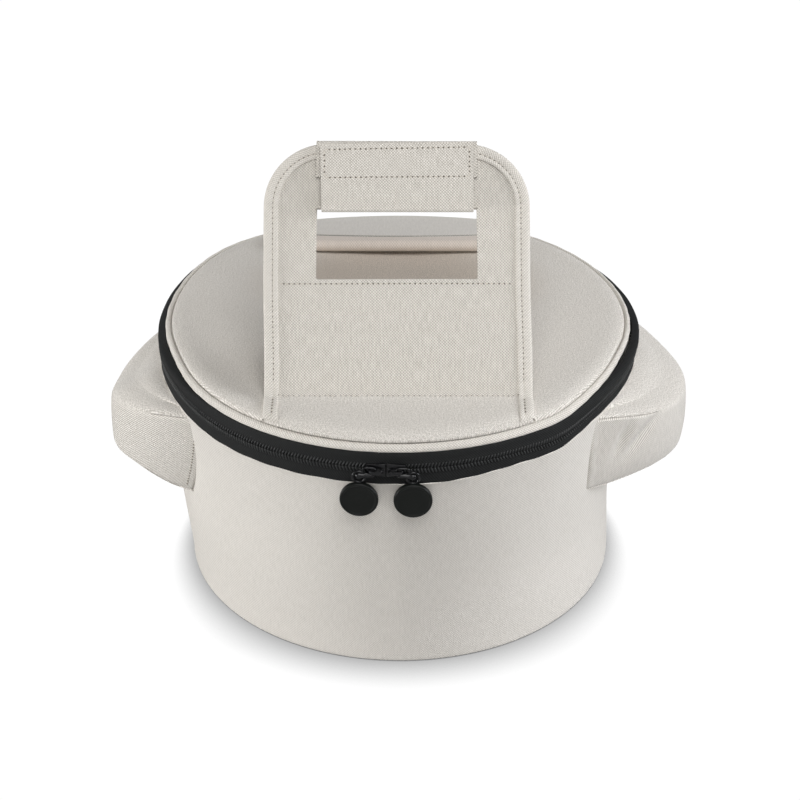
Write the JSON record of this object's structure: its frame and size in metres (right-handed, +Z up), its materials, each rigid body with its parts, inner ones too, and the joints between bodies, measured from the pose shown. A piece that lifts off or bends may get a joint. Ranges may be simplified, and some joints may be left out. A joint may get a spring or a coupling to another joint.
{
  "type": "casserole carrier",
  "caption": "Round insulated canvas carrier for a casserole dish, with side pockets for the dish handles, a zipped lid, carry handles and a wrap grip.",
  "frame": {"origin": "centre of the underside of the base", "axes": "+Z up, front with the zip sliders towards -Y, side pockets along X"},
  "size_m": [0.366, 0.3469, 0.2902],
  "materials": {
    "canvas": "off-white twill canvas, matt",
    "binding": "folded canvas edge binding",
    "foam": "closed-cell foam wadding",
    "board": "stiffening board",
    "lining": "grey wipe-clean lining",
    "zip_tape": "black woven tape",
    "zip_teeth": "black coil teeth",
    "hook_and_loop": "hook-and-loop tape",
    "slider_black": "black enamelled, satin",
    "pull_black": "black moulded, matt"
  },
  "bodies": {
    "bag": {"body_wall": "canvas", "body_foam": "foam", "body_lining": "lining", "base_panel": "canvas", "base_board": "board", "base_foam": "foam", "base_lining": "lining", "ear_left_band": "canvas", "ear_left_top": "canvas", "ear_left_under": "canvas", "ear_right_band": "canvas", "ear_right_top": "canvas", "ear_right_under": "canvas", "zip_lower_tape": "zip_tape", "zip_lower_teeth": "zip_teeth", "lid_hinge_strip": "canvas"},
    "lid": {"lid_top": "canvas", "lid_rim": "canvas", "lid_foam": "foam", "lid_lining": "lining", "zip_upper_tape": "zip_tape", "zip_upper_teeth": "zip_teeth", "front_handle_foot": "canvas", "rear_handle_foot": "canvas"},
    "front_handle": {"front_handle_panel": "canvas", "front_handle_binding": "binding", "grip_sleeve": "canvas", "grip_loop_tape": "hook_and_loop"},
    "grip_flap": {"grip_flap": "canvas", "grip_hook_tape": "hook_and_loop"},
    "rear_root": {"rear_handle_root": "canvas", "rear_binding_left": "binding", "rear_binding_right": "binding"},
    "rear_fold": {"rear_handle_fold": "canvas"},
    "rear_hang": {"rear_handle_panel": "canvas", "rear_handle_binding": "binding"},
    "slider_left": {"slider_left": "slider_black"},
    "pull_link_left": {"pull_link_left": "slider_black"},
    "pull_disc_left": {"pull_disc_left": "pull_black"},
    "slider_right": {"slider_right": "slider_black"},
    "pull_link_right": {"pull_link_right": "slider_black"},
    "pull_disc_right": {"pull_disc_right": "pull_black"}
  },
  "joints": [
    {"name": "lid_open", "type": "hinge", "parent": "bag", "child": "lid", "pos_m": [0, 0.1475, 0.15805], "axis": [-1, 0, 0], "range_deg": [0, 85]},
    {"name": "front_handle_fold", "type": "hinge", "parent": "lid", "child": "front_handle", "pos_m": [0, -0.1006, 0.1675], "axis": [1, 0, 0], "range_deg": [0, 105]},
    {"name": "grip_flap_open", "type": "hinge", "parent": "front_handle", "child": "grip_flap", "pos_m": [0, -0.03937, 0.25872], "axis": [1, 0, 0], "range_deg": [0, 165]},
    {"name": "rear_handle_raise", "type": "hinge", "parent": "lid", "child": "rear_root", "pos_m": [0, 0.0875, 0.1695], "axis": [1, 0, 0], "range_deg": [0, 114]},
    {"name": "rear_rim_bend", "type": "hinge", "parent": "rear_root", "child": "rear_fold", "pos_m": [0, 0.14393, 0.1652], "axis": [1, 0, 0], "range_deg": [0, 54]},
    {"name": "rear_hang_bend", "type": "hinge", "parent": "rear_fold", "child": "rear_hang", "pos_m": [0, 0.15027, 0.16032], "axis": [1, 0, 0], "range_deg": [0, 25]},
    {"name": "slider_left_travel", "type": "hinge", "parent": "bag", "child": "slider_left", "pos_m": [0, 0, 0.1483], "axis": [0, 0, -1], "range_deg": [0, 36]},
    {"name": "pull_link_left_swing", "type": "hinge", "parent": "slider_left", "child": "pull_link_left", "pos_m": [-0.01294, -0.15322, 0.1483], "axis": [0, 0, 1], "range_deg": [0, 100]},
    {"name": "pull_disc_left_swing", "type": "hinge", "parent": "pull_link_left", "child": "pull_disc_left", "pos_m": [-0.02241, -0.15242, 0.1483], "axis": [0.0842, 0.9965, 0], "range_deg": [-5, 80]},
    {"name": "slider_right_travel", "type": "hinge", "parent": "bag", "child": "slider_right", "pos_m": [0, 0, 0.1483], "axis": [0, 0, 1], "range_deg": [0, 36]},
    {"name": "pull_link_right_swing", "type": "hinge", "parent": "slider_right", "child": "pull_link_right", "pos_m": [-0.00127, -0.15376, 0.1483], "axis": [0, 0, -1], "range_deg": [0, 100]},
    {"name": "pull_disc_right_swing", "type": "hinge", "parent": "pull_link_right", "child": "pull_disc_right", "pos_m": [0.00823, -0.15384, 0.1483], "axis": [-0.0083, -1, 0], "range_deg": [-5, 80]}
  ],
  "couplings": [
    {"joint": "rear_rim_bend", "follows": "lid_open", "ratio": 0.63529},
    {"joint": "rear_hang_bend", "follows": "rear_handle_raise", "ratio": 0.2193}
  ]
}
